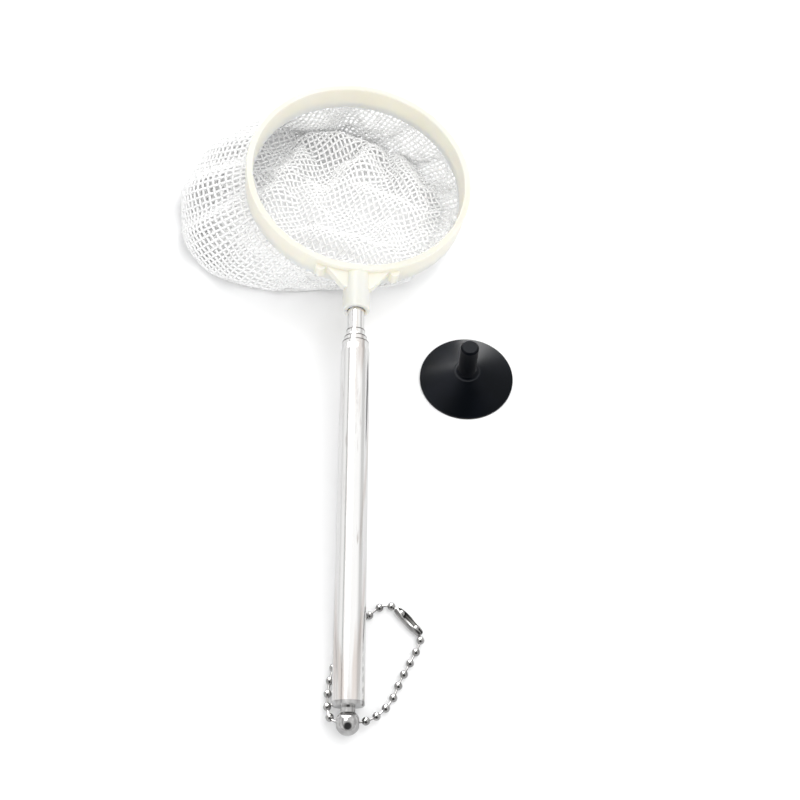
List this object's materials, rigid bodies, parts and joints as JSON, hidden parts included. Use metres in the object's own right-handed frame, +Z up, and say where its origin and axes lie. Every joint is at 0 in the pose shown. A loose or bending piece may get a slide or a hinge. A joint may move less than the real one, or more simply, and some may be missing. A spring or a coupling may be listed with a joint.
{
  "type": "aquarium fish net",
  "caption": "Round hand net with a moulded ring, knitted bag, telescopic steel handle, bead key chain and a suction cup holder.",
  "frame": {"origin": "on the table under the middle of the footprint of the net and its suction cup", "axes": "+Y along the length towards the ring, +Z up from the table, +X towards the suction cup"},
  "size_m": [0.1206, 0.241, 0.0353],
  "materials": {
    "ring_plastic": "moulded, ivory",
    "tube_steel": "polished",
    "shim_bronze": "plain",
    "chain_nickel": "nickel plated",
    "net_yarn": "knitted mesh",
    "cup_rubber": "smooth, black"
  },
  "bodies": {
    "handle": {"outer_tube": "tube_steel", "end_knob": "chain_nickel", "chain_beads": "chain_nickel", "chain_links": "chain_nickel", "chain_clasp": "chain_nickel"},
    "section_2": {"tube_section_2": "tube_steel", "shim_section_2": "shim_bronze"},
    "section_3": {"tube_section_3": "tube_steel", "shim_section_3": "shim_bronze"},
    "tip_slider": {"shim_tip": "shim_bronze"},
    "tip": {"tip_tube": "tube_steel"},
    "head": {"ring_frame": "ring_plastic", "bag_hem": "net_yarn", "net_bag": "net_yarn", "bag_seam": "net_yarn"},
    "cup": {"suction_cup": "cup_rubber"}
  },
  "joints": [
    {"name": "section_2_slide", "type": "slide", "parent": "handle", "child": "section_2", "axis": [0, 0.9954, 0.0958], "range_m": [0, 0.094]},
    {"name": "section_3_slide", "type": "slide", "parent": "section_2", "child": "section_3", "axis": [0, 0.9954, 0.0958], "range_m": [0, 0.094]},
    {"name": "tip_slide", "type": "slide", "parent": "section_3", "child": "tip_slider", "axis": [0, 0.9954, 0.0958], "range_m": [0, 0.0946]},
    {"name": "head_turn", "type": "hinge", "parent": "tip_slider", "child": "tip", "pos_m": [0.0065, 0.01607, 0.01757], "axis": [0, 0.9954, 0.0958], "continuous": true},
    {"name": "head_pull_off", "type": "slide", "parent": "tip", "child": "head", "axis": [0, 0.9954, 0.0958], "range_m": [0, 0.03]},
    {"name": "cup_lift", "type": "slide", "parent": "handle", "child": "cup", "axis": [0, 0, 1], "range_m": [0, 0.05]}
  ]
}
